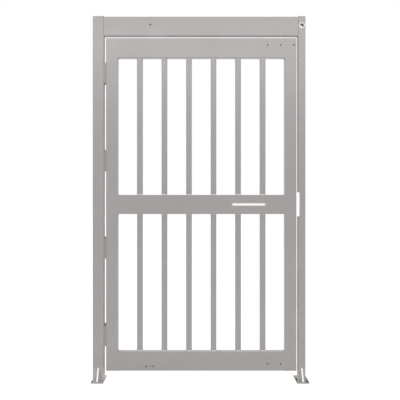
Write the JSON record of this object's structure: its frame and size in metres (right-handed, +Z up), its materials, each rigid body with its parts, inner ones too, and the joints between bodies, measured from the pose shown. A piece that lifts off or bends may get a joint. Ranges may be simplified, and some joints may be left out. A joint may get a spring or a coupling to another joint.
{
  "type": "full height security gate",
  "caption": "Full height security gate: a barred rectangular tube leaf on butt hinges, in its own frame of two posts and a header.",
  "frame": {"origin": "centre of the underside of the hinge post's base plate", "axes": "+X from the hinge post to the latch post, +Y to the rear, where the leaf opens, +Z up"},
  "size_m": [1.353, 0.218, 2.2905],
  "materials": {
    "painted_steel": "satin warm grey powder coat",
    "hinge_steel": "the same powder coat over the hinges",
    "base_plate_steel": "the same powder coat, dusty and scuffed on top",
    "grommet": "paler satin grey"
  },
  "bodies": {
    "frame": {"cable_grommet": "grommet", "header": "painted_steel", "hinge_1_post_half": "hinge_steel", "hinge_2_post_half": "hinge_steel", "hinge_3_post_half": "hinge_steel", "hinge_4_post_half": "hinge_steel", "hinge_post": "painted_steel", "hinge_post_base_plate": "base_plate_steel", "hinge_post_cap": "painted_steel", "hinge_post_front_gusset": "painted_steel", "hinge_post_rear_gusset": "painted_steel", "latch_post": "painted_steel", "latch_post_base_plate": "base_plate_steel", "latch_post_cap": "painted_steel", "latch_post_front_gusset": "painted_steel", "latch_post_rear_gusset": "painted_steel", "strike_pocket": "painted_steel"},
    "leaf": {"bottom_rail": "painted_steel", "hinge_1_gate_half": "hinge_steel", "hinge_2_gate_half": "hinge_steel", "hinge_3_gate_half": "hinge_steel", "hinge_4_gate_half": "hinge_steel", "hinge_stile": "painted_steel", "hinge_stile_caps": "painted_steel", "latch_stile": "painted_steel", "latch_stile_caps": "painted_steel", "lower_bar_1": "painted_steel", "lower_bar_2": "painted_steel", "lower_bar_3": "painted_steel", "lower_bar_4": "painted_steel", "lower_bar_5": "painted_steel", "lower_bar_6": "painted_steel", "mid_rail": "painted_steel", "pull_slot_liner": "painted_steel", "top_rail": "painted_steel", "upper_bar_1": "painted_steel", "upper_bar_2": "painted_steel", "upper_bar_3": "painted_steel", "upper_bar_4": "painted_steel", "upper_bar_5": "painted_steel", "upper_bar_6": "painted_steel"}
  },
  "joints": [
    {"name": "leaf_hinge", "type": "hinge", "parent": "frame", "child": "leaf", "pos_m": [0.042, 0.046, 1.10775], "axis": [0, 0, 1], "range_deg": [0, 110]}
  ]
}
